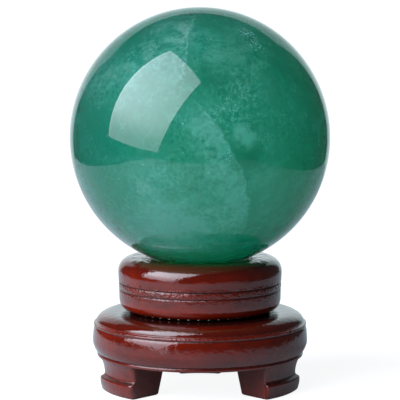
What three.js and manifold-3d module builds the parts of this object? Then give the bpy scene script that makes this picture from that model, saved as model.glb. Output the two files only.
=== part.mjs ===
// A polished green fluorite sphere in a turned, lacquered wooden stand.
// The stand is a seat disc that turns on a ring of steel balls above a base with three carved feet.
// Millimetres, +Z up. The origin is on the surface the feet stand on, under the sphere's centre.

import * as THREE from 'three';
import { mergeVertices } from 'three/addons/utils/BufferGeometryUtils.js';
import Module from 'manifold-3d';

const wasm = await Module();
wasm.setup();

// Sphere
const SPHERE_RADIUS = 50;
const SPHERE_CENTRE_Z = 96.8;
const SPHERE_SUBDIVISIONS = 10;

// Shared by the turned pieces
const TURNED_SIDES = 48;
const ARC_STEPS = 3;
const SEAT_GAP = 0.3;

// Ball race between seat disc and base
const BALL_COUNT = 42;
const BALL_RADIUS = 1.5;
const RACE_RADIUS = 25.5;
const RACE_CLEARANCE = 0.25;
const RACE_GAP = 1.0;
const BALL_SIDES = 6;
const BALL_RINGS = 4;

// Base heights
const PLATE_BOTTOM_Z = 12.5;
const PLATE_TOP_Z = 29.6;
const RACE_Z = PLATE_TOP_Z + RACE_GAP / 2;

// Seat disc
const DISC_BOTTOM_Z = PLATE_TOP_Z + RACE_GAP;
const DISC_FLAT_RADIUS = 27.6;
const DISC_WAIST_RADIUS = 31.1;
const DISC_WAIST_Z = 35.2;
const DISC_BEAD_RADIUS = 31.3;
const DISC_GROOVE_RADIUS = 31.0;
const DISC_GROOVE_HALF_HEIGHT = 0.5;
const LOWER_GROOVE_Z = 38.4;
const UPPER_GROOVE_Z = 41.1;
const DISC_RADIUS = 31.55;
const DISC_SHOULDER_Z = 44.7;
const DISC_CROWN_RADIUS = 25;
const DISC_CROWN_Z = 50.6;

// Base plate, from its lower lip to the dome under the seat disc
const LIP_RADIUS = 39.8;
const LIP_EDGE = 0.4;
const LIP_TOP_Z = 13.6;
const LIP_GROOVE_RADIUS = 39.6;
const LIP_GROOVE_Z = 14.2;
const BAND_FOOT_RADIUS = 40.1;
const BAND_FOOT_Z = 14.8;
const BAND_RADIUS = 41.45;
const BAND_LOW_Z = 19.0;
const BAND_HIGH_Z = 23.0;
const BEAD_RADIUS = 40.9;
const BEAD_LOW_Z = 24.5;
const BEAD_HIGH_Z = 25.3;
const RIM_GROOVE_Z = 25.7;
const DOME_EDGE_RADIUS = 40.1;
const DOME_EDGE_Z = 25.8;
const DOME_FLAT_RADIUS = 32.5;

// Feet
const FOOT_COUNT = 3;
const FOOT_HALF_ANGLE = THREE.MathUtils.degToRad(19);
const FOOT_SINK = 1.0;
const NECK_TOP_RADIUS = 38.9;
const NECK_RADIUS = 37.5;
const NECK_LOW_Z = 6.3;
const TOE_RADIUS = 39.2;
const TOE_TOP_Z = 5.2;
const TOE_LOW_Z = 3.2;
const TOE_SOLE_RADIUS = 38.4;
const SOLE_EDGE = 0.5;
const FOOT_INNER_TOP_RADIUS = 20;
const FOOT_INNER_SOLE_RADIUS = 24;

// Materials
const FLUORITE = { color: 0x2f6b50, roughness: 0.06, metalness: 0 };
const LACQUERED_WOOD = { color: 0x5e2118, roughness: 0.2, metalness: 0 };
const BALL_STEEL = { color: 0xb8bcc0, roughness: 0.15, metalness: 1 };

function namedMesh(name, geometry, finish) {
  const mesh = new THREE.Mesh(geometry, new THREE.MeshStandardMaterial(finish));
  mesh.name = name;
  return mesh;
}

// A profile in the (radius, height) plane, turned about +Z.
function turned(path) {
  const geometry = new THREE.LatheGeometry(path.getPoints(ARC_STEPS), TURNED_SIDES);
  return geometry.rotateX(Math.PI / 2);
}

function toSolid(geometry) {
  const bare = geometry.clone();
  bare.deleteAttribute('normal');
  bare.deleteAttribute('uv');
  const merged = mergeVertices(bare, 1e-4);
  return new wasm.Manifold(new wasm.Mesh({
    numProp: 3,
    vertProperties: new Float32Array(merged.getAttribute('position').array),
    triVerts: new Uint32Array(merged.getIndex().array),
  }));
}

function toGeometry(solid) {
  const mesh = solid.getMesh();
  const geometry = new THREE.BufferGeometry();
  geometry.setAttribute('position', new THREE.BufferAttribute(mesh.vertProperties, 3));
  geometry.setIndex(new THREE.BufferAttribute(mesh.triVerts, 1));
  geometry.computeVertexNormals();
  return geometry;
}

// Half of the ball groove's width where it meets a flat face of the race.
const GROOVE_SECTION_RADIUS = BALL_RADIUS + RACE_CLEARANCE;
const GROOVE_MEET_ANGLE = Math.asin(RACE_GAP / 2 / GROOVE_SECTION_RADIUS);
const GROOVE_HALF_WIDTH = GROOVE_SECTION_RADIUS * Math.cos(GROOVE_MEET_ANGLE);

function fluoriteSphere() {
  const geometry = new THREE.IcosahedronGeometry(SPHERE_RADIUS, SPHERE_SUBDIVISIONS);
  const mesh = namedMesh('fluorite_sphere', geometry, FLUORITE);
  mesh.position.z = SPHERE_CENTRE_Z;
  return mesh;
}

// A narrow V-shaped groove cut into the disc's side.
function cutGroove(path, z, radiusBelow, radiusAbove) {
  path.lineTo(radiusBelow, z - DISC_GROOVE_HALF_HEIGHT);
  path.lineTo(DISC_GROOVE_RADIUS, z);
  path.lineTo(radiusAbove, z + DISC_GROOVE_HALF_HEIGHT);
}

// Flat below with half of the ball race, rounded edges, two grooves and a dished top for the sphere.
function seatDisc() {
  const dishRadius = SPHERE_RADIUS + SEAT_GAP;
  const dishEdgeAngle = -Math.acos((SPHERE_CENTRE_Z - DISC_CROWN_Z) / dishRadius);
  const path = new THREE.Path();
  path.moveTo(0, DISC_BOTTOM_Z);
  path.lineTo(RACE_RADIUS - GROOVE_HALF_WIDTH, DISC_BOTTOM_Z);
  path.absarc(RACE_RADIUS, RACE_Z, GROOVE_SECTION_RADIUS, Math.PI - GROOVE_MEET_ANGLE, GROOVE_MEET_ANGLE, true);
  path.lineTo(DISC_FLAT_RADIUS, DISC_BOTTOM_Z);
  path.absellipse(
    DISC_FLAT_RADIUS, DISC_WAIST_Z,
    DISC_WAIST_RADIUS - DISC_FLAT_RADIUS, DISC_WAIST_Z - DISC_BOTTOM_Z,
    -Math.PI / 2, 0, false, 0,
  );
  cutGroove(path, LOWER_GROOVE_Z, DISC_BEAD_RADIUS, DISC_BEAD_RADIUS);
  cutGroove(path, UPPER_GROOVE_Z, DISC_BEAD_RADIUS, DISC_RADIUS);
  path.absellipse(
    DISC_CROWN_RADIUS, DISC_SHOULDER_Z,
    DISC_RADIUS - DISC_CROWN_RADIUS, DISC_CROWN_Z - DISC_SHOULDER_Z,
    0, Math.PI / 2, false, 0,
  );
  path.absarc(0, SPHERE_CENTRE_Z, dishRadius, -Math.PI / 2 - dishEdgeAngle, -Math.PI / 2, true);
  return namedMesh('seat_disc', turned(path), LACQUERED_WOOD);
}

// The round plate of the base: lip, groove, swelling band, bead and low dome with its half of the race.
function basePlate() {
  const path = new THREE.Path();
  path.moveTo(0, PLATE_BOTTOM_Z);
  path.lineTo(LIP_RADIUS - LIP_EDGE, PLATE_BOTTOM_Z);
  path.lineTo(LIP_RADIUS, PLATE_BOTTOM_Z + LIP_EDGE);
  path.lineTo(LIP_RADIUS, LIP_TOP_Z);
  path.lineTo(LIP_GROOVE_RADIUS, LIP_GROOVE_Z);
  path.lineTo(BAND_FOOT_RADIUS, BAND_FOOT_Z);
  path.quadraticCurveTo(BAND_RADIUS, (BAND_FOOT_Z + BAND_LOW_Z) / 2, BAND_RADIUS, BAND_LOW_Z);
  path.lineTo(BAND_RADIUS, BAND_HIGH_Z);
  path.lineTo(BEAD_RADIUS, BEAD_LOW_Z);
  path.lineTo(BEAD_RADIUS, BEAD_HIGH_Z);
  path.lineTo(DOME_EDGE_RADIUS, RIM_GROOVE_Z);
  path.absellipse(
    DOME_FLAT_RADIUS, DOME_EDGE_Z,
    DOME_EDGE_RADIUS - DOME_FLAT_RADIUS, PLATE_TOP_Z - DOME_EDGE_Z,
    0, Math.PI / 2, false, 0,
  );
  path.lineTo(RACE_RADIUS + GROOVE_HALF_WIDTH, PLATE_TOP_Z);
  path.absarc(RACE_RADIUS, RACE_Z, GROOVE_SECTION_RADIUS, -GROOVE_MEET_ANGLE, GROOVE_MEET_ANGLE - Math.PI, true);
  path.lineTo(0, PLATE_TOP_Z);
  return toSolid(turned(path));
}

// The ring that the feet are sawn from: a hollowed neck over a toe that steps out.
function footRing() {
  const path = new THREE.Path();
  path.moveTo(FOOT_INNER_SOLE_RADIUS, 0);
  path.lineTo(TOE_SOLE_RADIUS - SOLE_EDGE, 0);
  path.lineTo(TOE_SOLE_RADIUS, SOLE_EDGE);
  path.lineTo(TOE_RADIUS, TOE_LOW_Z);
  path.lineTo(TOE_RADIUS, TOE_TOP_Z);
  path.lineTo(NECK_RADIUS, NECK_LOW_Z);
  path.quadraticCurveTo(NECK_RADIUS, (NECK_LOW_Z + PLATE_BOTTOM_Z) / 2, NECK_TOP_RADIUS, PLATE_BOTTOM_Z);
  path.lineTo(NECK_TOP_RADIUS, PLATE_BOTTOM_Z + FOOT_SINK);
  path.lineTo(FOOT_INNER_TOP_RADIUS, PLATE_BOTTOM_Z + FOOT_SINK);
  path.lineTo(FOOT_INNER_SOLE_RADIUS, 0);
  return toSolid(turned(path));
}

// The wedge that one foot keeps of the ring. Angle 0 points to the back, +Y.
function footWedge(angle) {
  const reach = 2 * BAND_RADIUS;
  const shape = new THREE.Shape();
  shape.moveTo(0, 0);
  shape.lineTo(reach * Math.sin(angle - FOOT_HALF_ANGLE), reach * Math.cos(angle - FOOT_HALF_ANGLE));
  shape.lineTo(reach * Math.sin(angle + FOOT_HALF_ANGLE), reach * Math.cos(angle + FOOT_HALF_ANGLE));
  shape.closePath();
  const depth = 2 * PLATE_BOTTOM_Z;
  const geometry = new THREE.ExtrudeGeometry(shape, { depth, bevelEnabled: false });
  return toSolid(geometry.translate(0, 0, -depth / 4));
}

function footedBase() {
  const ring = footRing();
  let solid = basePlate();
  for (let i = 0; i < FOOT_COUNT; i += 1) {
    solid = solid.add(ring.intersect(footWedge((2 * Math.PI * i) / FOOT_COUNT)));
  }
  return namedMesh('footed_base', toGeometry(solid), LACQUERED_WOOD);
}

// The steel balls, evenly spaced, one of them at the front.
function bearingBalls() {
  const balls = new THREE.Group();
  for (let i = 0; i < BALL_COUNT; i += 1) {
    const angle = (2 * Math.PI * i) / BALL_COUNT;
    const geometry = new THREE.SphereGeometry(BALL_RADIUS, BALL_SIDES, BALL_RINGS);
    const name = `bearing_ball_${String(i + 1).padStart(2, '0')}`;
    const mesh = namedMesh(name, geometry, BALL_STEEL);
    mesh.position.set(RACE_RADIUS * Math.sin(angle), -RACE_RADIUS * Math.cos(angle), RACE_Z);
    balls.add(mesh);
  }
  return balls;
}

const object = new THREE.Group();
object.add(fluoriteSphere(), seatDisc(), footedBase(), bearingBalls());

export default object;
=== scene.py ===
"""A polished green fluorite sphere in a turning stand of lacquered wood.

The turned and carved pieces are surfaces computed from their profiles, in metres, in the frame of the
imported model. Finishes are procedural and read Object coordinates, which are metres in that same frame.
"""

import math

import bpy
import numpy as np
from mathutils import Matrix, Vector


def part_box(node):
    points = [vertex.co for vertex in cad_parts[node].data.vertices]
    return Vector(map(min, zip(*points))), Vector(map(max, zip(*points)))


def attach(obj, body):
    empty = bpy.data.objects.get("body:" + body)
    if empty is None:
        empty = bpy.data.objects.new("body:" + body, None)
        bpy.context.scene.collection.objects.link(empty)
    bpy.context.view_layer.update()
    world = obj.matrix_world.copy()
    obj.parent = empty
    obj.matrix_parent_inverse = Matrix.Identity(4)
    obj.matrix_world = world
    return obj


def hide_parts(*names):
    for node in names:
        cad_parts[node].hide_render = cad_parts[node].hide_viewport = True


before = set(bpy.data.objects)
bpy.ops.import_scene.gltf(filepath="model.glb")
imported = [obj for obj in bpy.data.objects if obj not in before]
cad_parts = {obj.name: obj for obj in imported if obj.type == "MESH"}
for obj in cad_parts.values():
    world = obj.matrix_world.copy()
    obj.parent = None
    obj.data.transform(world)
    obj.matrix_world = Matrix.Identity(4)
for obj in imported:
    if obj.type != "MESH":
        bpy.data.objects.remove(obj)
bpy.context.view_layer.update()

MM = 0.001

# Sizes read from the frame
SPHERE_LOW, SPHERE_HIGH = (np.array(corner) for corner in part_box("fluorite_sphere"))
DISC_LOW, DISC_HIGH = (np.array(corner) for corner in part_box("seat_disc"))
BASE_HIGH = np.array(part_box("footed_base")[1])
BALL_NODES = sorted(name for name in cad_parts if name.startswith("bearing_ball_"))

SPHERE_CENTRE = (SPHERE_LOW + SPHERE_HIGH) / 2
SPHERE_RADIUS = (SPHERE_HIGH - SPHERE_LOW).min() / 2

# Heights and radii on the stand, in millimetres
DISC_RADIUS = DISC_HIGH[0] / MM
DISC_BOTTOM = DISC_LOW[2] / MM
DISC_TOP = DISC_HIGH[2] / MM
CROWN_RADIUS = 25.0
SHOULDER_Z = 44.6
UPPER_GROOVE_Z = 41.1
LOWER_GROOVE_Z = 38.4
SEAT_GAP = 0.3
SEAT_CENTRE_Z = SPHERE_CENTRE[2] / MM
SEAT_DISH_RADIUS = SPHERE_RADIUS / MM + SEAT_GAP
RACE_INNER, RACE_OUTER = 23.82, 27.18
RACE_DEPTH = 1.25
RACE_EDGE = 0.1
BASE_RADIUS = BASE_HIGH[0] / MM
BASE_TOP = BASE_HIGH[2] / MM
RIM_BEAD_Z = 24.9
RIM_GROOVE_Z = 24.3
LIP_GROOVE_Z = 13.9
PLATE_BOTTOM = 12.5

# Feet
FOOT_COUNT = 3
FOOT_HALF_ANGLE = math.radians(19)
FOOT_INNER_SOLE, FOOT_INNER_TOP = 24.0, 20.0
FOOT_SINK = 1.0
TOE_LEDGE_Z = 5.9
SOLE_WEAR, SOLE_WEAR_HEIGHT = 0.5, 0.6

# Mesh fineness
SAME_PLACE = 1e-6
TURNED_SIDES = 288
DISH_RINGS = 24
SPHERE_RINGS, SPHERE_SIDES = 200, 400
BALL_RINGS, BALL_SIDES = 10, 18


# Surfaces

def corner_path(corners, arc_steps=8, longest=2.0, fullness=2.0):
    """Points along a run of corners (x, y, before, after): each corner is replaced by a quarter of a
    superellipse with the exponent `fullness`, a quarter ellipse at 2 and squarer above, that leaves the run
    `before` ahead of it and joins it again `after` behind it. Straight stretches are cut into steps no
    longer than `longest`, and points in the same place are dropped."""
    points = np.array([corner[:2] for corner in corners], float)
    legs = np.diff(points, axis=0)
    directions = legs / np.linalg.norm(legs, axis=1)[:, None]
    turn = np.linspace(0, math.pi / 2, arc_steps + 1)[:, None]
    leaving = 1 - np.sin(turn) ** (2 / fullness)
    joining = 1 - np.maximum(np.cos(turn), 0) ** (2 / fullness)
    bends = [points[:1]]
    for i in range(1, len(points) - 1):
        before, after = corners[i][2:]
        back, forward = -directions[i - 1] * before, directions[i] * after
        bends.append(points[i] + back * leaving + forward * joining)
    bends.append(points[-1:])
    run = np.concatenate(bends)
    lengths = np.linalg.norm(np.diff(run, axis=0), axis=1)
    apart = lengths > SAME_PLACE
    run = run[np.append(True, apart)]
    steps = np.ceil(lengths[apart] / longest).astype(int)
    places = np.concatenate([i + np.arange(n) / n for i, n in enumerate(steps)] + [[len(run) - 1]])
    index = np.arange(len(run))
    return np.stack([np.interp(places, index, run[:, axis]) for axis in (0, 1)], axis=1)


def skin(rows, first, last):
    """A closed surface over a grid: rows run upwards, each row is a closed loop that turns
    anticlockwise seen from above, and the loops at the two ends are closed by fans to two points."""
    height, around = rows.shape[:2]
    vertices = np.concatenate([rows.reshape(-1, 3), [first], [last]])
    here = np.arange(around)
    beyond = (here + 1) % around
    low = (np.arange(height - 1) * around)[:, None]
    high = low + around
    quads = np.stack([low + here, low + beyond, high + beyond, high + here], axis=-1).reshape(-1, 4)
    top = (height - 1) * around
    first_point = np.full(around, height * around)
    fans = np.concatenate([
        np.stack([first_point, beyond, here], axis=-1),
        np.stack([first_point + 1, top + here, top + beyond], axis=-1),
    ])
    return vertices, quads, fans


def turned(profile, sides=TURNED_SIDES):
    """A profile of (radius, height) points from axis to axis, in millimetres, turned about +Z: the point
    at angle a is (radius cos a, radius sin a, height)."""
    angle = np.linspace(0, 2 * math.pi, sides, endpoint=False)
    radius, height = profile[1:-1, 0, None], profile[1:-1, 1, None]
    rows = np.stack([radius * np.cos(angle), radius * np.sin(angle), height + 0 * angle], axis=-1)
    return skin(rows * MM, (0, 0, profile[0, 1] * MM), (0, 0, profile[-1, 1] * MM))


def ball(radius, rings, sides):
    """A sphere about the origin: the point at latitude b and longitude a is the radius times
    (cos b cos a, cos b sin a, sin b)."""
    latitude = np.linspace(-math.pi / 2, math.pi / 2, rings + 1)
    section = radius * np.stack([np.cos(latitude), np.sin(latitude)], axis=1)
    return turned(section / MM, sides)


def joined(shells):
    """Several closed surfaces as one set of vertices, quads and triangles."""
    vertices, quads, fans = zip(*shells)
    starts = np.cumsum([0] + [len(points) for points in vertices[:-1]])
    quads = [faces + start for faces, start in zip(quads, starts)]
    fans = [faces + start for faces, start in zip(fans, starts)]
    return np.concatenate(vertices), np.concatenate(quads), np.concatenate(fans)


def piece(name, surface, finish, body, replaced):
    """A smooth-shaded mesh object that stands for CAD nodes and moves with a body."""
    vertices, quads, fans = surface
    mesh = bpy.data.meshes.new(name)
    mesh.from_pydata(vertices.tolist(), [], quads.tolist() + fans.tolist())
    mesh.polygons.foreach_set("use_smooth", np.ones(len(mesh.polygons), bool))
    mesh.materials.append(finish)
    mesh.update()
    made = bpy.data.objects.new(name, mesh)
    bpy.context.scene.collection.objects.link(made)
    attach(made, body)
    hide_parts(*replaced)


# Shader fields

BLACK, WHITE = (0.0, 0.0, 0.0), (1.0, 1.0, 1.0)

# Sockets of a Mix node that blends colours
MIX_FACTOR, MIX_FIRST, MIX_SECOND, MIX_RESULT = 0, 6, 7, 2


class Field:
    """One value of a node tree. Arithmetic on it adds Math nodes to that tree."""

    def __init__(self, nodes, socket):
        self.nodes = nodes
        self.socket = socket

    def math(self, operation, *others):
        return self.nodes.node("ShaderNodeMath", {"operation": operation}, dict(enumerate((self, *others))))

    def __add__(self, other):
        return self.math("ADD", other)

    def __radd__(self, other):
        return self.math("ADD", other)

    def __sub__(self, other):
        return self.math("SUBTRACT", other)

    def __rsub__(self, other):
        return self.nodes.node("ShaderNodeMath", {"operation": "SUBTRACT"}, {0: other, 1: self})

    def __mul__(self, other):
        return self.math("MULTIPLY", other)

    def __rmul__(self, other):
        return self.math("MULTIPLY", other)

    def __truediv__(self, other):
        return self.math("DIVIDE", other)

    def __pow__(self, other):
        return self.math("POWER", other)

    def __abs__(self):
        return self.math("ABSOLUTE")

    def clamped(self):
        """This value kept between 0 and 1."""
        return self.nodes.node("ShaderNodeMath", {"operation": "ADD", "use_clamp": True}, {0: self, 1: 0.0})

    def fading(self):
        """1 where this value is 0, and less as it grows: e to the power of minus the value."""
        return (0.0 - self).math("EXPONENT")

    def eased(self, low, high):
        """0 at low, 1 at high, smooth between, for low above or below high."""
        settings = {"interpolation_type": "SMOOTHSTEP"}
        sockets = {"Value": self, "From Min": min(low, high), "From Max": max(low, high)}
        rising = self.nodes.node("ShaderNodeMapRange", settings, sockets)
        return rising if low < high else 1.0 - rising


class Nodes:
    """A node tree, the one way to add a node to it, and the kinds of node that the finishes share."""

    def __init__(self, tree):
        self.tree = tree

    def feed(self, socket, value):
        """Links a field to a socket, or sets the socket to a fixed value."""
        if isinstance(value, Field):
            self.tree.links.new(value.socket, socket)
        else:
            socket.default_value = value

    def node(self, kind, settings, sockets, output=0):
        """Adds a node, sets its settings, then gives its sockets values or links, and returns an output."""
        added = self.tree.nodes.new(kind)
        for key, value in settings.items():
            setattr(added, key, value)
        for key, value in sockets.items():
            self.feed(added.inputs[key], value)
        return Field(self, added.outputs[output])

    def vector(self, operation, first, second, output="Vector"):
        return self.node("ShaderNodeVectorMath", {"operation": operation}, {0: first, 1: second}, output)

    def moved(self, vector, offset):
        return self.vector("ADD", vector, offset)

    def scaled(self, vector, factors):
        """A vector times one number, or times a number along each axis."""
        return self.vector("MULTIPLY", vector, factors if isinstance(factors, tuple) else (factors,) * 3)

    def along(self, vector, direction):
        """The component of a vector along a direction."""
        return self.vector("DOT_PRODUCT", vector, direction, "Value")

    def distance(self, vector, point=(0.0, 0.0, 0.0)):
        """How far a place is from a point."""
        return self.vector("DISTANCE", vector, point, "Value")

    def noise(self, vector, scale, detail=2.0, roughness=0.5, output=0):
        sockets = {"Vector": vector, "Scale": scale, "Detail": detail, "Roughness": roughness}
        return self.node("ShaderNodeTexNoise", {}, sockets, output)

    def lines(self, vector, scale, detail, roughness, width):
        """Thin wandering lines, along which a noise passes through its middle value."""
        return abs(self.noise(vector, scale, detail, roughness) - 0.5).eased(width, 0.0)

    def specks(self, vector, scale):
        """Distance to the nearest of a scatter of points, one point in each cell."""
        return self.node("ShaderNodeTexVoronoi", {}, {"Vector": vector, "Scale": scale})

    def bump(self, height, strength, distance):
        sockets = {"Height": height, "Strength": strength, "Distance": distance}
        return self.node("ShaderNodeBump", {}, sockets)

    def blend(self, factor, first, second):
        """A colour that goes from the first to the second as the factor goes from 0 to 1."""
        first, second = (
            colour if isinstance(colour, Field) else (*colour, 1.0) for colour in (first, second)
        )
        settings = {"data_type": "RGBA", "clamp_factor": True}
        sockets = {MIX_FACTOR: factor, MIX_FIRST: first, MIX_SECOND: second}
        return self.node("ShaderNodeMix", settings, sockets, MIX_RESULT)


class Finish(Nodes):
    """A material with a Principled shader, and the Object coordinates that it reads."""

    def __init__(self, name):
        self.material = bpy.data.materials.new(name)
        self.material.use_nodes = True
        super().__init__(self.material.node_tree)
        self.shader = self.tree.nodes["Principled BSDF"]
        self.place = self.node("ShaderNodeTexCoord", {}, {}, "Object")

    def shade(self, **sockets):
        """Sets the shader's sockets, named with underscores for spaces, to fields or fixed values."""
        for key, value in sockets.items():
            self.feed(self.shader.inputs[key.replace("_", " ")], value)
        return self.material

    def light(self, colour, strength=1.0):
        """Makes the surface black and without gloss, so that all it gives is its own light."""
        return self.shade(
            Base_Color=(*BLACK, 1.0), Specular_IOR_Level=0.0,
            Emission_Color=colour, Emission_Strength=strength,
        )


# Finishes

FLUORITE_DEEP = (0.009, 0.114, 0.067)
FLUORITE_MID = (0.016, 0.166, 0.103)
FLUORITE_WARM = (0.026, 0.150, 0.060)
FLUORITE_PALE = (0.132, 0.335, 0.228)
FLUORITE_MILK = (0.34, 0.58, 0.53)
FLUORITE_SHADE = (0.008, 0.088, 0.055)
FLUORITE_DISH_SHADE = (0.001, 0.012, 0.006)
FLUORITE_REFRACTION = 1.434
FLUORITE_CLOUDINESS = 0.95
FLUORITE_GLOW_REACH = (0.04, 0.90, 0.52)
POLISH_REFRACTION = 1.3
POLISH_TINT = (0.50, 0.50, 0.50, 1.0)
POLISH_ROUGHNESS = 0.02

# Heights where painted shade turns the stone warm, then dark in the dish, in radii from the sphere's centre
WARM_SHADE_BELOW = (-0.79, -0.83)
DISH_SHADE_BELOW = (-0.86, -0.95)

# Places on the front of the sphere, as seen from a little above: right of and above its centre, in radii
FRONT_TILT = math.radians(5.9)
UPRIGHT_VEIL = ((-0.03, 0.93), (-0.07, 0.76), (-0.13, 0.44))
BOWED_VEIL = (0.345, -0.50)
BOWED_VEIL_CURVE = 0.63
UPPER_CLOUD = (-0.44, 0.60)
FROSTED_PATCH = (0.28, 0.25)

# The same, each with its reach
PALE_PATCH = (0.335, 0.01, 0.13)
WARM_PATCH = (0.66, -0.24, 0.45)
CLEAR_PATCHES = (
    (0.34, -0.15, 0.22), (0.09, 0.42, 0.36), (-0.64, 0.0, 0.55), (-0.52, 0.71, 0.25), (0.66, 0.50, 0.26),
)
CRUMB_CLUSTERS = ((0.35, 0.77, 0.12), (0.42, 0.66, 0.12), (0.21, -0.15, 0.055))

# The same, each with its reach and strength
# The first darker patch, on the far left, is painted shade; the other two are darker stone.
DARK_STONE_AND_SHADE_PATCHES = ((-0.80, 0.04, 0.50, 0.7), (0.10, 0.44, 0.28, 0.8), (0.38, -0.12, 0.28, 0.6))
SCRIBBLED_PATCHES = ((*FROSTED_PATCH, 0.32, 1.0), (*UPPER_CLOUD, 0.28, 0.7), (-0.74, 0.45, 0.30, 0.4))

# The same, each with its reach, its even share and its mottled share
PALE_CLOUDS_AND_LIGHT = (
    (-0.74, 0.45, 0.30, 0.0, 0.15),
    (0.31, 0.57, 0.44, 0.0, 0.50),
    (0.66, 0.13, 0.45, 0.22, 0.0),
    (0.50, -0.30, 0.45, 0.32, 0.0),
    # The last two, low on the front, are partly stone cloud and partly painted light coming up through the
    # stone.
    (-0.36, -0.50, 0.62, 0.22, 0.12),
    (-0.20, -0.72, 0.50, 0.68, 0.28),
)


def on_front(places):
    """Points of the unit sphere's front for places given right of and above its centre."""
    right, above = np.array(places, float).T
    towards = np.sqrt(1 - right**2 - above**2)
    tilt_cos, tilt_sin = math.cos(FRONT_TILT), math.sin(FRONT_TILT)
    back = above * tilt_sin - towards * tilt_cos
    return np.stack([right, back, above * tilt_cos + towards * tilt_sin], axis=1)


def veil_plane(places):
    """Unit normal and offset of the plane through three places on the front. The normal points right."""
    points = on_front(places)
    normal = np.cross(points[1] - points[0], points[2] - points[0])
    normal *= math.copysign(1 / np.linalg.norm(normal), normal[0])
    return tuple(normal), float(points[0] @ normal)


class Stone(Finish):
    """The sphere's finish, with the fields that its clouds, veils and flecks share: places in radii from
    the sphere's centre, straight or drifting, two noises, and a grain that is weaker behind."""

    def __init__(self, name):
        super().__init__(name)
        self.unit = self.scaled(self.moved(self.place, tuple(-SPHERE_CENTRE)), 1 / SPHERE_RADIUS)
        drift = self.moved(self.noise(self.unit, 2.2, 4.0, output="Color"), (-0.5, -0.5, -0.5))
        self.flowing = self.moved(self.unit, self.scaled(drift, 0.22))
        self.wavy = self.moved(self.unit, self.scaled(drift, 0.10))
        self.mottle = self.noise(self.flowing, 10.0, 4.0, 0.58)
        self.frost = self.noise(self.unit, 30.0, 4.0, 0.72)
        self.above = self.along(self.unit, (0.0, math.sin(FRONT_TILT), math.cos(FRONT_TILT)))
        middle = tuple(on_front([(0.0, 0.0)])[0])
        self.front = 0.5 + 0.5 * self.along(self.unit, middle).eased(0.0, 0.45)
        grain = self.mottle.eased(0.35, 0.61) * 0.60 + self.frost.eased(0.36, 0.64) * 0.40
        self.texture = 0.45 + self.front * (grain - 0.45)

    def spot(self, right, above, reach):
        """1 at a place on the front, falling to 0 at its reach, with an outline that drifts."""
        return self.distance(self.flowing, tuple(on_front([(right, above)])[0])).eased(reach, 0.0)

    def spots(self, patches):
        """The sum of several spots, each given with its strength."""
        return sum(self.spot(*patch) * strength for *patch, strength in patches)

    def wander(self, mottle_share, frost_share):
        """How far a veil's edge strays to the side."""
        return mottle_share * (self.mottle - 0.5) + frost_share * (self.frost - 0.5)

    def bowed_veil(self):
        """A pale sheet left of a bowed edge, and the bright hem along that edge. The edge is a parabola:
        its distance to the right is furthest - curve (above - height) squared."""
        furthest, height = BOWED_VEIL
        edge = furthest - BOWED_VEIL_CURVE * (self.above - height) ** 2.0
        beside = self.along(self.wavy, (1.0, 0.0, 0.0)) - edge + self.wander(0.14, 0.05)
        sheet = beside.eased(0.014, -0.014) * beside.eased(-0.40, -0.04)
        sheet = sheet * self.above.eased(0.38, 0.0) * self.above.eased(-0.86, -0.50)
        haze = beside.eased(0.0, -0.1) * beside.eased(-0.9, -0.2) * self.above.eased(0.1, -0.3)
        pale = (1.02 * sheet + 0.16 * haze) * (0.4 + 0.6 * self.texture) * self.front
        hem = abs(beside + 0.012).eased(0.022, 0.0) * self.frost.eased(0.40, 0.62) * self.front
        return pale, hem * self.above.eased(0.30, 0.10) * self.above.eased(-0.70, -0.45)

    def upright_veil(self):
        """A pale sheet left of a plane near the top of the front, and the bright crack along that plane."""
        normal, offset = veil_plane(UPRIGHT_VEIL)
        beside = self.along(self.wavy, normal) - offset + self.wander(0.16, 0.08)
        reach = self.above.eased(0.25, 0.57) * self.above.eased(0.97, 0.86) * self.front
        pale = beside.eased(0.008, -0.008) * beside.eased(-0.26, 0.0) * reach * self.texture * 0.85
        return pale, abs(beside + 0.006).eased(0.018, 0.0) * reach * self.frost.eased(0.38, 0.62)

    def strokes(self):
        """Short fine strokes, some upright and some level: noise squeezed along one axis or another."""
        upright = self.noise(self.scaled(self.flowing, (34.0, 12.0, 15.0)), 1.0, 5.0, 0.6)
        level = self.noise(self.scaled(self.flowing, (15.0, 12.0, 36.0)), 1.0, 5.0, 0.6)
        return upright.eased(0.48, 0.66) + level.eased(0.50, 0.66)

    def scribbles(self):
        """Thin wandering lines in patches on the front, broken up by the frost."""
        squeezed = self.scaled(self.flowing, (24.0, 20.0, 15.0))
        drawn = self.lines(squeezed, 1.0, 2.0, 0.5, 0.05) * self.frost.eased(0.44, 0.58)
        return drawn * self.spots(SCRIBBLED_PATCHES)


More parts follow.
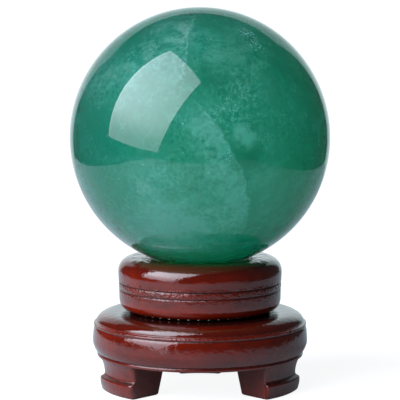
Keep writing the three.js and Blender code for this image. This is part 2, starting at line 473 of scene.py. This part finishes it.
def fluorite():
    """Cloudy green stone under a high polish: drifting clouds and frost, clear and darker patches, two
    healed cracks, thin veins, scribbles, crumbs and sparks. Painted shade makes it darker on the far left,
    warmer and darker on the right and low down, and dark in the dish; painted light makes it paler low on
    the front."""
    stone = Stone("polished_fluorite")
    flowing, mottle, frost, texture = stone.flowing, stone.mottle, stone.frost, stone.texture

    clouds = stone.noise(flowing, 2.5, 4.0, 0.5)
    unclear = 1 - 0.8 * sum(stone.spot(*patch) for patch in CLEAR_PATCHES)
    frosting = (frost - 0.5) * (0.25 + stone.noise(flowing, 4.0, 3.0, 0.5).eased(0.42, 0.62)) * stone.front
    body = (clouds.eased(0.34, 0.62) * 0.5 + texture * 0.4) * unclear + 0.9 * frosting
    colour = stone.blend(body.clamped(), FLUORITE_DEEP, FLUORITE_MID)
    # Painted shade: warmer and darker towards the right, away from the softbox; the warm patch is the
    # stone's own tone.
    rightness = stone.along(stone.unit, (1.0, 0.0, 0.0))
    warm_tone_and_shade = rightness.eased(0.45, 1.15) * 0.3 + stone.spot(*WARM_PATCH) * 0.4
    colour = stone.blend(warm_tone_and_shade, colour, FLUORITE_WARM)
    # Darker patches: painted shade on the far left, darker stone elsewhere.
    colour = stone.blend(stone.spots(DARK_STONE_AND_SHADE_PATCHES), colour, FLUORITE_SHADE)

    bowed_sheet, hem = stone.bowed_veil()
    upright_sheet, crack = stone.upright_veil()
    pale = clouds.eased(0.48, 0.74) * texture * 0.50 + 0.05 * stone.front + 0.80 * frosting
    pale = pale + bowed_sheet + upright_sheet
    # Pale clouds; the two lowest are partly painted light.
    for *patch, even, mottled in PALE_CLOUDS_AND_LIGHT:
        pale = pale + stone.spot(*patch) * (even + mottled * texture)
    pale = pale + stone.spot(*UPPER_CLOUD, 0.24) * mottle.eased(0.42, 0.62) * 0.35
    pale = pale + stone.spot(*FROSTED_PATCH, 0.42) * stone.strokes() * 0.42
    pale = pale * unclear + stone.spot(*PALE_PATCH) * mottle.eased(0.25, 0.5) * 1.35
    veins = stone.lines(flowing, 5.0, 3.0, 0.55, 0.012) * mottle.eased(0.46, 0.58) * stone.front
    colour = stone.blend((pale + 0.30 * veins).clamped(), colour, FLUORITE_PALE)

    height = stone.along(stone.unit, (0.0, 0.0, 1.0))
    # Painted shade: warmer and darker low down, and dark in the dish, where the seat shades the stone.
    colour = stone.blend(height.eased(*WARM_SHADE_BELOW) * 0.8, colour, FLUORITE_WARM)
    colour = stone.blend(height.eased(*DISH_SHADE_BELOW) * 0.97, colour, FLUORITE_DISH_SHADE)

    clusters = sum(stone.spot(*cluster) for cluster in CRUMB_CLUSTERS)
    crumbs = stone.specks(stone.unit, 46.0).eased(0.52, 0.28) * clusters
    sparks = stone.specks(stone.unit, 12.0).eased(0.09, 0.05) * mottle.eased(0.46, 0.60)
    flecks = crumbs + 0.47 * stone.scribbles() + 0.5 * sparks + 0.40 * crack + 0.22 * hem
    colour = stone.blend(flecks, colour, FLUORITE_MILK)

    return stone.shade(
        Base_Color=colour,
        Roughness=POLISH_ROUGHNESS,
        IOR=FLUORITE_REFRACTION,
        Subsurface_Weight=FLUORITE_CLOUDINESS,
        Subsurface_Radius=FLUORITE_GLOW_REACH,
        Subsurface_Scale=1.0,
        Coat_Weight=1.0,
        Coat_IOR=POLISH_REFRACTION,
        Coat_Roughness=POLISH_ROUGHNESS,
        Coat_Tint=POLISH_TINT,
    )


LACQUER_RED = (0.108, 0.0046, 0.0005)
LACQUER_BROWN = (0.050, 0.0028, 0.0006)
LACQUER_TOP_SHADE = (0.030, 0.0014, 0.0003)
LACQUER_UNDERLIT = (0.20, 0.012, 0.003)
LACQUER_DARK = (0.008, 0.0016, 0.0012)
LACQUER_REFRACTION = 1.54
LACQUER_RELIEF, LACQUER_RELIEF_HEIGHT = 0.28, 0.0004

# Painted shade in the grooves: height and half width in millimetres, then strength
DARK_GROOVES = (
    (UPPER_GROOVE_Z, 0.45, 1.0),
    (LOWER_GROOVE_Z, 0.45, 1.0),
    (RIM_GROOVE_Z, 0.35, 1.0),
    (LIP_GROOVE_Z, 0.40, 0.6),
)
GROOVE_BED = 0.1

# Distances from the axis where a zone of the lacquer begins and where it is full, in millimetres
TOE_LEDGE_ZONE = (36.6, 37.2)
CUT_ZONE = (38.0, 36.8)
JOINT_SHADE_ZONE = (37.0, 34.0)
POOL_ZONE = (30.0, 25.5)


def lacquered_wood():
    """Dark red lacquer over close-grained wood: faint grain, painted shade on the level tops, painted light
    on the disc's lower roll, painted shade in the grooves, along the toes' ledges and round the joint, with
    orange-peel gloss, beads of lacquer between the grooves and crinkles round the seat."""
    made = Finish("red_lacquer")
    height = made.along(made.place, (0.0, 0.0, 1 / MM))
    outwards = made.distance(made.scaled(made.place, (1 / MM, 1 / MM, 0.0)))
    grain = made.noise(made.scaled(made.place, (60.0, 420.0, 420.0)), 1.0, 6.0, 0.6)
    patches = made.noise(made.place, 70.0, 4.0, 0.55)
    beads = made.noise(made.place, 760.0, 2.0, 0.6)

    figure = grain.eased(0.35, 0.68) * 0.5 + patches.eased(0.35, 0.7) * 0.4
    colour = made.blend(figure, LACQUER_RED, LACQUER_BROWN)
    # Painted shade: the level tops of the base's dome and the disc's crown are darker.
    dome = height.eased(RIM_BEAD_Z + 0.7, RIM_BEAD_Z + 1.9)
    dome = dome * height.eased(DISC_BOTTOM + 0.4, BASE_TOP + 0.4)
    crown = height.eased(SHOULDER_Z + 0.4, SHOULDER_Z + 4.9)
    colour = made.blend((dome + crown) * 0.6, colour, LACQUER_TOP_SHADE)
    # Painted light: the disc's lower roll is lighter, as if lit from below.
    roll = height.eased(DISC_BOTTOM - 0.2, DISC_BOTTOM + 0.2)
    roll = roll * height.eased(DISC_BOTTOM + 5.5, DISC_BOTTOM + 2.5)
    colour = made.blend(roll * 0.45, colour, LACQUER_UNDERLIT)

    # Painted shade along the toes' ledges and in the grooves, broken up by the beads.
    ledge_shade = abs(height - TOE_LEDGE_Z).eased(0.7, 0.3) * outwards.eased(*TOE_LEDGE_ZONE)
    grooves = ledge_shade
    for z, half_width, strength in DARK_GROOVES:
        grooves = grooves + abs(height - z).eased(half_width, GROOVE_BED) * strength
    grooves = grooves.clamped()
    colour = made.blend(grooves * (0.12 + 0.78 * beads.eased(0.42, 0.58)), colour, LACQUER_DARK)
    # Painted shade: a dark ring on the base's top round the joint, where the disc shades it.
    joint_shade = height.eased(BASE_TOP - 1.3, BASE_TOP - 0.7) * height.eased(BASE_TOP + 0.6, BASE_TOP + 0.4)
    joint_shade = joint_shade * outwards.eased(*JOINT_SHADE_ZONE)
    colour = made.blend(joint_shade * 0.85, colour, LACQUER_DARK)
    cut = height.eased(PLATE_BOTTOM + 0.1, PLATE_BOTTOM - 0.1) * outwards.eased(*CUT_ZONE)

    beaded = height.eased(LOWER_GROOVE_Z - 2.0, LOWER_GROOVE_Z)
    beaded = beaded * height.eased(UPPER_GROOVE_Z + 2.0, UPPER_GROOVE_Z)
    beaded = beaded + abs(height - RIM_BEAD_Z).eased(1.2, 0.4) * 0.6
    pooled = height.eased(DISC_TOP - 1.5, DISC_TOP - 0.5) * outwards.eased(*POOL_ZONE)
    peel = made.noise(made.place, 380.0, 2.0, 0.45)
    ripple = made.noise(made.place, 800.0, 3.0, 0.6)
    crinkle = abs(made.noise(made.place, 240.0, 1.0, 0.5) - 0.5)
    relief = peel * 0.9 + ripple * 0.6 + (beads - 0.5) * beaded * 6.5 + crinkle * pooled * 9.0
    return made.shade(
        Base_Color=colour,
        Roughness=0.03 + 0.06 * patches + 0.38 * cut + 0.35 * grooves + 0.10 * joint_shade,
        IOR=LACQUER_REFRACTION,
        Normal=made.bump(relief, LACQUER_RELIEF, LACQUER_RELIEF_HEIGHT),
    )


STEEL_BARE = (0.11, 0.105, 0.10)
STEEL_OILED = (0.05, 0.045, 0.04)


def ball_steel():
    """Polished bearing steel with a thin film of old lubricant."""
    made = Finish("bearing_steel")
    film = made.noise(made.place, 900.0, 3.0)
    colour = made.blend(film.eased(0.4, 0.7), STEEL_BARE, STEEL_OILED)
    return made.shade(Base_Color=colour, Metallic=1.0, Roughness=0.12 + 0.12 * film)


# Pieces

def polished_sphere(finish):
    """A ball at the sphere's centre."""
    vertices, quads, fans = ball(SPHERE_RADIUS, SPHERE_RINGS, SPHERE_SIDES)
    surface = (vertices + SPHERE_CENTRE, quads, fans)
    piece("polished_sphere", surface, finish, "turntable", ["fluorite_sphere"])


def race_groove(z, depth):
    """Corners of the ball groove's half in a flat face at height z, from its inner to its outer edge."""
    wall = 0.9 * abs(depth)
    reach = (RACE_OUTER - RACE_INNER) / 2
    return [
        (RACE_INNER, z, RACE_EDGE, RACE_EDGE),
        (RACE_INNER, z + depth, wall, reach),
        (RACE_OUTER, z + depth, reach, wall),
        (RACE_OUTER, z, RACE_EDGE, RACE_EDGE),
    ]


def turned_seat_disc(finish):
    """Rounded above and below, with a bead between two grooves round its side and a dish for the sphere,
    whose height at a radius is that of a ball a little larger than the sphere about the same centre."""
    side = DISC_RADIUS
    seat_edge = math.sqrt(SEAT_DISH_RADIUS**2 - (SEAT_CENTRE_Z - DISC_TOP) ** 2)
    outer = corner_path([
        (0, DISC_BOTTOM, 0, 0),
        *race_groove(DISC_BOTTOM, RACE_DEPTH),
        (side - 0.45, DISC_BOTTOM, 3.4, 4.6),
        (side - 0.30, LOWER_GROOVE_Z - 0.40, 0.25, 0.25),
        (side - 0.70, LOWER_GROOVE_Z, 0.15, 0.15),
        (side - 0.20, LOWER_GROOVE_Z + 0.30, 0.2, 1.0),
        (side - 0.20, UPPER_GROOVE_Z - 0.30, 1.0, 0.2),
        (side - 0.65, UPPER_GROOVE_Z, 0.15, 0.15),
        (side - 0.15, UPPER_GROOVE_Z + 0.30, 0.15, 0.2),
        (side, SHOULDER_Z, 0.2, 0.1),
        (side, DISC_TOP, DISC_TOP - SHOULDER_Z - 0.1, side - CROWN_RADIUS),
        (seat_edge, DISC_TOP, 0, 0),
    ], arc_steps=16, longest=0.8, fullness=2.4)
    across = np.linspace(seat_edge, 0, DISH_RINGS)
    dish = np.stack([across, SEAT_CENTRE_Z - np.sqrt(SEAT_DISH_RADIUS**2 - across**2)], axis=1)
    profile = np.concatenate([outer, dish[1:]])
    piece("turned_seat_disc", turned(profile), finish, "turntable", ["seat_disc"])


def base_plate():
    """The round plate: lip, groove, swelling band, groove, bead and low dome with its half of the race."""
    profile = corner_path([
        (0, PLATE_BOTTOM, 0, 0),
        (39.80, PLATE_BOTTOM, 0.5, 0.5),
        (39.80, LIP_GROOVE_Z - 0.30, 0.5, 0.2),
        (39.40, LIP_GROOVE_Z, 0.15, 0.15),
        (40.10, LIP_GROOVE_Z + 0.55, 0.3, 0.5),
        (BASE_RADIUS, 16.9, 1.9, 1.1),
        (BASE_RADIUS, RIM_GROOVE_Z - 0.20, 6.0, 0.9),
        (40.62, RIM_GROOVE_Z, 0.12, 0.12),
        (41.05, RIM_BEAD_Z - 0.45, 0.2, 0.35),
        (41.05, RIM_BEAD_Z + 0.45, 0.35, 0.3),
        (39.95, RIM_BEAD_Z + 0.75, 0.2, 0.2),
        (40.10, BASE_TOP, 3.7, 7.6),
        *race_groove(BASE_TOP, -RACE_DEPTH)[::-1],
        (0, BASE_TOP, 0, 0),
    ])
    return turned(profile)


def carved_foot(angle):
    """One foot: a rounded ring sector at each height. Across the section `along` runs round the axis and
    `out` runs outwards, both from -1 to 1. A point is at the radius middle + half depth times out, and at
    the foot's angle + half angle times along. Both halves shrink a little at the worn sole."""
    outline = corner_path([
        (38.30, 0.00, 0, 0),
        (38.55, 0.60, 0.3, 0.5),
        (39.20, 3.20, 0.8, 0.8),
        (39.20, 5.40, 0.6, 0.5),
        (37.50, 6.20, 0.5, 0.6),
        (37.55, 9.00, 1.8, 1.8),
        (38.90, PLATE_BOTTOM, 0.1, 0.1),
        (38.90, PLATE_BOTTOM + FOOT_SINK, 0, 0),
    ], arc_steps=5, longest=0.8)
    section = corner_path([
        (0, -1, 0, 0),
        (1, -1, 0.07, 0.10),
        (1, 1, 0.10, 0.07),
        (-1, 1, 0.07, 0.10),
        (-1, -1, 0.10, 0.07),
        (0, -1, 0, 0),
    ], arc_steps=5, longest=0.09)[:-1]
    along, out = section.T
    outer, height = outline[:, 0, None], outline[:, 1, None]
    inner = FOOT_INNER_SOLE + (FOOT_INNER_TOP - FOOT_INNER_SOLE) * height / PLATE_BOTTOM
    worn = SOLE_WEAR * (1 - np.minimum(height / SOLE_WEAR_HEIGHT, 1)) ** 2
    middle, half = (outer + inner) / 2, (outer - inner) / 2 - worn
    radius = middle + half * out
    turn = angle + (FOOT_HALF_ANGLE - worn / middle) * along
    rows = np.stack([radius * np.sin(turn), radius * np.cos(turn), height + 0 * turn], axis=-1)[:, ::-1]
    core = np.array([math.sin(angle), math.cos(angle)]) * middle[0, 0] * MM
    return skin(rows * MM, (*core, 0), (*core, outline[-1, 1] * MM))


def carved_base(finish):
    """The plate with its feet sunk into it, spaced evenly round the axis."""
    feet = [carved_foot(2 * math.pi * i / FOOT_COUNT) for i in range(FOOT_COUNT)]
    surface = joined([base_plate(), *feet])
    piece("carved_base", surface, finish, "base", ["footed_base"])


def bearing_balls(finish):
    """One small sphere at the centre of each ball's node."""
    corners = np.array([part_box(name) for name in BALL_NODES])
    radius = (corners[0, 1] - corners[0, 0]).max() / 2
    vertices, quads, fans = ball(radius, BALL_RINGS, BALL_SIDES)
    shells = [(vertices + centre, quads, fans) for centre in corners.mean(axis=1)]
    piece("bearing_balls", joined(shells), finish, "base", BALL_NODES)


# Studio

CAMERA_DISTANCE = 1.0
CAMERA_HEIGHT = 0.1999
CAMERA_PITCH = math.radians(7.26)
CAMERA_SENSOR = 36.0
CAMERA_LENS = 235.8

# Softbox: corners, then places on its cloth in shares of its width and height
SOFTBOX_TOP = np.array((-0.302, 0.005, 0.983))
SOFTBOX_RIGHT = np.array((0.015, -0.567, 0.853))
SOFTBOX_BOTTOM = np.array((-0.555, -0.758, -0.026))
SOFTBOX_LEFT = np.array((-0.933, -0.081, 0.115))
SOFTBOX_HEART, SOFTBOX_HEART_REACH = (0.28, 0.46), (0.75, 0.44)
SOFTBOX_SKIRT = (0.10, 0.34)
SOFTBOX_SEAM = (0.035, 0.020)
SOFTBOX_EDGE_GLOW, SOFTBOX_HEART_GLOW, SOFTBOX_SEAM_GLOW = 4.4, 6.2, 2.5
SOFTBOX_SKIRT_SHARE = 0.62
SOFTBOX_STRENGTH = 14.0
SOFTBOX_TINT = (0.92, 1.0, 1.12)

TABLE_LEFT, TABLE_RIGHT, TABLE_FRONT, TABLE_BACK = -0.32, 0.28, -0.36, 0.42
TABLE_Z = 0.0004
TABLE_GREY = (0.33, 0.385, 0.407, 1.0)
TABLE_DIM, TABLE_BRIGHT = (0.078, 0.095, 0.106), (0.227, 0.262, 0.270)
TABLE_DIM_X, TABLE_BRIGHT_X = 0.13, -0.25

# Backdrop: corners, colours, then each glow's place x, z and its reach across and up
BACKDROP_FOOT_LEFT, BACKDROP_FOOT_RIGHT = -0.28, 0.27
BACKDROP_HEAD_LEFT, BACKDROP_HEAD_RIGHT = -0.39, 0.30
BACKDROP_TOP_LEFT, BACKDROP_TOP_RIGHT = 0.41, 0.44
BACKDROP_DIM, BACKDROP_BRIGHT = (0.44, 0.61, 0.63), (0.84, 1.00, 1.04)
BACKDROP_HEART = (1.22, 1.36, 1.42)
BACKDROP_WIDE_GLOW = (-0.07, 0.0, 0.34, 0.36)
BACKDROP_HEART_GLOW = (0.0, 0.14, 0.20, 0.075)

FLOOR_REACH = 3.0
FLOOR_NEAR, FLOOR_FAR = 0.15, 0.40
FLOOR_GREY, FLOOR_DIM = (0.25, 0.25, 0.25), (0.84, 0.84, 0.84)
FLOOR_STRENGTH = 1.05
PAPER_ROUGHNESS = 0.9
ROOM_DIM = (0.070, 0.077, 0.080)


def stage_sheet(name, corners, material):
    """A flat four-cornered sheet that isn't part of the object."""
    mesh = bpy.data.meshes.new(name)
    mesh.from_pydata([tuple(corner) for corner in corners], [], [(0, 1, 2, 3)])
    mesh.materials.append(material)
    made = bpy.data.objects.new(name, mesh)
    bpy.context.scene.collection.objects.link(made)
    return made


def flat_sheet(name, low, high, z, material):
    """A level sheet between two corners (x, y) at height z."""
    corners = ((low[0], low[1], z), (high[0], low[1], z), (high[0], high[1], z), (low[0], high[1], z))
    return stage_sheet(name, corners, material)


def lamp_cloth():
    """The softbox's front: brightest left of its middle, with a dimmer skirt along its lower edge and a
    bright seam along its upper left edge."""
    made = Finish("softbox_cloth")
    up = (SOFTBOX_TOP + SOFTBOX_RIGHT - SOFTBOX_BOTTOM - SOFTBOX_LEFT) / 2
    across = (SOFTBOX_RIGHT + SOFTBOX_BOTTOM - SOFTBOX_TOP - SOFTBOX_LEFT) / 2
    from_corner = made.moved(made.place, tuple(-SOFTBOX_LEFT))
    height = made.along(from_corner, tuple(up / (up @ up)))
    side = made.along(from_corner, tuple(across / (across @ across)))
    away = ((side - SOFTBOX_HEART[0]) / SOFTBOX_HEART_REACH[0]) ** 2.0
    away = away + ((height - SOFTBOX_HEART[1]) / SOFTBOX_HEART_REACH[1]) ** 2.0
    rim = (SOFTBOX_TOP - SOFTBOX_LEFT) / np.linalg.norm(SOFTBOX_TOP - SOFTBOX_LEFT)
    inwards = across - (across @ rim) * rim
    seam = made.along(from_corner, tuple(inwards / (inwards @ inwards))).eased(*SOFTBOX_SEAM)
    skirt = SOFTBOX_SKIRT_SHARE + (1 - SOFTBOX_SKIRT_SHARE) * height.eased(*SOFTBOX_SKIRT)
    lit = (SOFTBOX_EDGE_GLOW + SOFTBOX_HEART_GLOW * away.fading()) * skirt + SOFTBOX_SEAM_GLOW * seam
    return made.light(made.blend(lit / SOFTBOX_STRENGTH, BLACK, SOFTBOX_TINT), SOFTBOX_STRENGTH)


def backdrop_paper():
    """White paper lit from below: a wide glow at its foot, and a smaller, brighter heart above that."""
    made = Finish("backdrop_paper")

    def glow(x, z, width, height):
        across = (made.along(made.place, (1.0, 0.0, 0.0)) - x) / width
        up = (made.along(made.place, (0.0, 0.0, 1.0)) - z) / height
        return (across * across + up * up).fading()

    colour = made.blend(glow(*BACKDROP_WIDE_GLOW), BACKDROP_DIM, BACKDROP_BRIGHT)
    return made.light(made.blend(glow(*BACKDROP_HEART_GLOW), colour, BACKDROP_HEART))


def table_paper():
    """Matt pale grey paper that glows a little, more on the left, so shadows on it stay pale."""
    made = Finish("table_paper")
    leftwards = made.along(made.place, (1.0, 0.0, 0.0)).eased(TABLE_DIM_X, TABLE_BRIGHT_X)
    return made.shade(
        Base_Color=TABLE_GREY,
        Roughness=PAPER_ROUGHNESS,
        Specular_IOR_Level=0.0,
        Emission_Color=made.blend(leftwards, TABLE_DIM, TABLE_BRIGHT),
        Emission_Strength=1.0,
    )


def floor_paper():
    """Matt white that also glows, so the object's shadow stays pale, and that passes into even white
    further out."""
    made = Finish("floor_paper")
    far = made.distance(made.place).eased(FLOOR_NEAR, FLOOR_FAR)
    return made.shade(
        Base_Color=made.blend(far, FLOOR_GREY, BLACK),
        Roughness=PAPER_ROUGHNESS,
        Specular_IOR_Level=0.0,
        Emission_Color=made.blend(far, FLOOR_DIM, WHITE),
        Emission_Strength=FLOOR_STRENGTH,
    )


def hidden_from_camera(made):
    """Keeps a sheet out of the picture itself: it lights the object and shows in its reflections."""
    made.visible_camera = False
    made.visible_shadow = False
    made.visible_transmission = False


def studio():
    """The floor that the camera sees, and the table, softbox and backdrop that only the object sees."""
    floor = flat_sheet("floor", (-FLOOR_REACH,) * 2, (FLOOR_REACH,) * 2, 0.0, floor_paper())
    floor.visible_glossy = False
    floor.visible_diffuse = False
    low, high = (TABLE_LEFT, TABLE_FRONT), (TABLE_RIGHT, TABLE_BACK)
    hidden_from_camera(flat_sheet("table", low, high, TABLE_Z, table_paper()))
    softbox = (SOFTBOX_TOP, SOFTBOX_RIGHT, SOFTBOX_BOTTOM, SOFTBOX_LEFT)
    hidden_from_camera(stage_sheet("softbox", softbox, lamp_cloth()))
    backdrop = (
        (BACKDROP_FOOT_LEFT, TABLE_BACK, 0),
        (BACKDROP_FOOT_RIGHT, TABLE_BACK, 0),
        (BACKDROP_HEAD_RIGHT, TABLE_BACK, BACKDROP_TOP_RIGHT),
        (BACKDROP_HEAD_LEFT, TABLE_BACK, BACKDROP_TOP_LEFT),
    )
    hidden_from_camera(stage_sheet("backdrop", backdrop, backdrop_paper()))


def surroundings():
    """White behind the object as the camera sees it, and a dim room for everything else."""
    world = bpy.data.worlds.new("studio")
    world.use_nodes = True
    room = Nodes(world.node_tree)
    seen = room.node("ShaderNodeLightPath", {}, {}, "Is Camera Ray")
    room.feed(room.tree.nodes["Background"].inputs["Color"], room.blend(seen, ROOM_DIM, WHITE))
    bpy.context.scene.world = world


def camera():
    """The photograph's viewpoint: in front of the object and above it, looking slightly down."""
    data = bpy.data.cameras.new("camera")
    data.sensor_width = CAMERA_SENSOR
    data.lens = CAMERA_LENS
    made = bpy.data.objects.new("camera", data)
    made.location = (0, -CAMERA_DISTANCE, CAMERA_HEIGHT)
    made.rotation_euler = (math.pi / 2 - CAMERA_PITCH, 0, 0)
    bpy.context.scene.collection.objects.link(made)
    bpy.context.scene.camera = made


wood = lacquered_wood()
polished_sphere(fluorite())
turned_seat_disc(wood)
carved_base(wood)
bearing_balls(ball_steel())

studio()
surroundings()
camera()
bpy.context.scene.view_settings.view_transform = "Standard"
